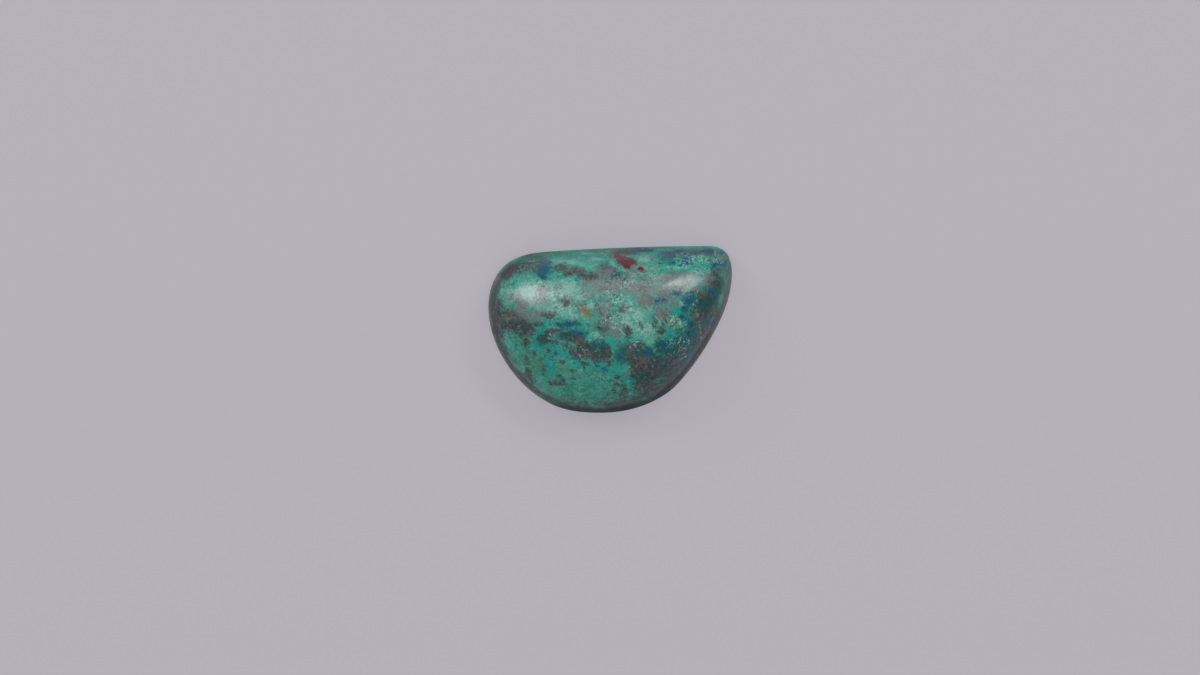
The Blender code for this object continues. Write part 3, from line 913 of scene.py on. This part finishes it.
def press_pits(stone, pits, material):
    """Runs the pit nodes on the stone and keeps their result as its plain mesh."""
    modifier = stone.modifiers.new("pits", "NODES")
    modifier.node_group = pit_tree()
    values = {"Spacing": pits.spacing, "Density": pits.density, "Radius": pits.radius,
              "Depth": pits.depth, "Seed": pits.seed, "Material": material}
    for socket in modifier.node_group.interface.items_tree:
        if socket.in_out == "INPUT" and socket.name in values:
            modifier[socket.identifier] = values[socket.name]
    graph = bpy.context.evaluated_depsgraph_get()
    finished = bpy.data.meshes.new_from_object(stone.evaluated_get(graph))
    stone.modifiers.remove(modifier)
    stone.data = finished


def mark_softness(mesh):
    """Stores where the polish leaves more pits: on the matrix and among the small grains."""
    soft = PITS_ON_GREEN
    for mineral, more in MORE_PITS.items():
        field = np.empty(len(mesh.vertices))
        mesh.attributes[mineral].data.foreach_get("value", field)
        soft = soft + more * smooth_step(field, *PITS_BEGIN)
    up = vertex_places(mesh)[:, 2] > 0
    store(mesh, "pitted", np.clip(soft, 0, 1) * up)


class CABOCHON_OT_stone(bpy.types.Operator):
    """Make the stone, with its minerals and pits, in place of the plain solid"""

    bl_idname = "cabochon.stone"
    bl_label = "Make the stone"

    def execute(self, context):
        scene = context.scene
        sizes = scene.cabochon_sizes
        mesh = stone_mesh(sizes)
        mark_minerals(mesh, sizes, eye_height(scene.cabochon_stage))
        mark_softness(mesh)
        stone = add_object("polished_cabochon", mesh)
        press_pits(stone, scene.cabochon_pits, stone_material(scene.cabochon_colours, sizes))
        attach(stone, "root")
        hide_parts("stone")
        return {"FINISHED"}


def eye_height(stage):
    """How far above the stone's girth the camera is."""
    sensor = 36.0
    return stage.frame_width * stage.lens / sensor


def aim(thing, azimuth, elevation, distance, target):
    """Puts a light at a distance from the target and points it there. Azimuth 0 is +X, 90 is +Y."""
    turn, rise = math.radians(azimuth), math.radians(elevation)
    away = Vector((math.cos(turn) * math.cos(rise), math.sin(turn) * math.cos(rise), math.sin(rise)))
    thing.location = target + away * distance
    thing.rotation_euler = away.to_track_quat("Z", "Y").to_euler()


def soft_light(name, azimuth, elevation, distance, width, height, radiance):
    """A rectangle that glows evenly, with this radiance, and that the camera doesn't see."""
    light = bpy.data.lights.new(name, "AREA")
    light.shape = "RECTANGLE"
    light.size, light.size_y = width, height
    light.energy = radiance * math.pi * width * height
    thing = add_object(name, light)
    aim(thing, azimuth, elevation, distance, Vector((0, 0, STONE_HIGH.z / 2)))
    thing.visible_camera = False
    return thing


def lay_floor(stage):
    half = 1.5
    below = -0.02 * MM
    mesh = bpy.data.meshes.new("floor")
    corners = [(-half, -half, below), (half, -half, below), (half, half, below), (-half, half, below)]
    mesh.from_pydata(corners, [], [(0, 1, 2, 3)])
    floor = add_object("floor", mesh)
    material = bpy.data.materials.new("floor_card")
    material.use_nodes = True
    shader = material.node_tree.nodes["Principled BSDF"]
    shader.inputs["Base Color"].default_value = (*stage.floor_colour, 1.0)
    shader.inputs["Roughness"].default_value = 1.0
    shader.inputs["Specular IOR Level"].default_value = 0.0
    shader.inputs["Emission Color"].default_value = (*stage.floor_colour, 1.0)
    shader.inputs["Emission Strength"].default_value = stage.floor_glow / stage.floor_colour[1]
    mesh.materials.append(material)


def light_stage(stage):
    world = bpy.data.worlds.new("studio")
    world.use_nodes = True
    sky = world.node_tree.nodes["Background"]
    sky.inputs["Color"].default_value = SKY_COLOUR
    sky.inputs["Strength"].default_value = stage.sky_strength
    bpy.context.scene.world = world
    for name, place in LIGHTS.items():
        light = soft_light(name, *place, getattr(stage, f"{name}_radiance"))
        light.visible_glossy = name != "fill"


def place_camera(stage):
    """Looks straight down on the stone, which lies a little right of the middle and above it."""
    camera = bpy.data.cameras.new("camera")
    camera.lens = stage.lens
    camera.clip_start = 10 * MM
    thing = add_object("camera", camera)
    right_of_middle, above_middle = 0.677 * MM, 0.54 * MM
    thing.location = (-right_of_middle, -above_middle, eye_height(stage))
    bpy.context.scene.camera = thing


class CABOCHON_OT_stage(bpy.types.Operator):
    """Lay the floor, set the lights and place the camera"""

    bl_idname = "cabochon.stage"
    bl_label = "Set the stage"

    def execute(self, context):
        stage = context.scene.cabochon_stage
        lay_floor(stage)
        light_stage(stage)
        place_camera(stage)
        context.scene.view_settings.view_transform = "Standard"
        return {"FINISHED"}


GROUPS = {
    "cabochon_sizes": StoneSizes,
    "cabochon_pits": PitSizes,
    "cabochon_colours": MineralColours,
    "cabochon_stage": StageSettings,
}
OPERATORS = [CABOCHON_OT_stage, CABOCHON_OT_stone]


class CABOCHON_PT_panel(bpy.types.Panel):
    """The cabochon's sizes, colours and steps"""

    bl_idname = "CABOCHON_PT_panel"
    bl_label = "Azurite cabochon"
    bl_space_type = "VIEW_3D"
    bl_region_type = "UI"
    bl_category = "Cabochon"

    def draw(self, context):
        for step in OPERATORS:
            self.layout.operator(step.bl_idname)
        for name, group in GROUPS.items():
            box = self.layout.box()
            for field in group.__annotations__:
                box.prop(getattr(context.scene, name), field)


def register():
    for group in GROUPS.values():
        bpy.utils.register_class(group)
    for name, group in GROUPS.items():
        setattr(bpy.types.Scene, name, bpy.props.PointerProperty(type=group))
    for kind in [*OPERATORS, CABOCHON_PT_panel]:
        bpy.utils.register_class(kind)


def unregister():
    for kind in [CABOCHON_PT_panel, *reversed(OPERATORS)]:
        bpy.utils.unregister_class(kind)
    for name in GROUPS:
        delattr(bpy.types.Scene, name)
    for group in reversed(GROUPS.values()):
        bpy.utils.unregister_class(group)


def main():
    register()
    bpy.ops.cabochon.stage()
    bpy.ops.cabochon.stone()


if __name__ == "__main__":
    main()
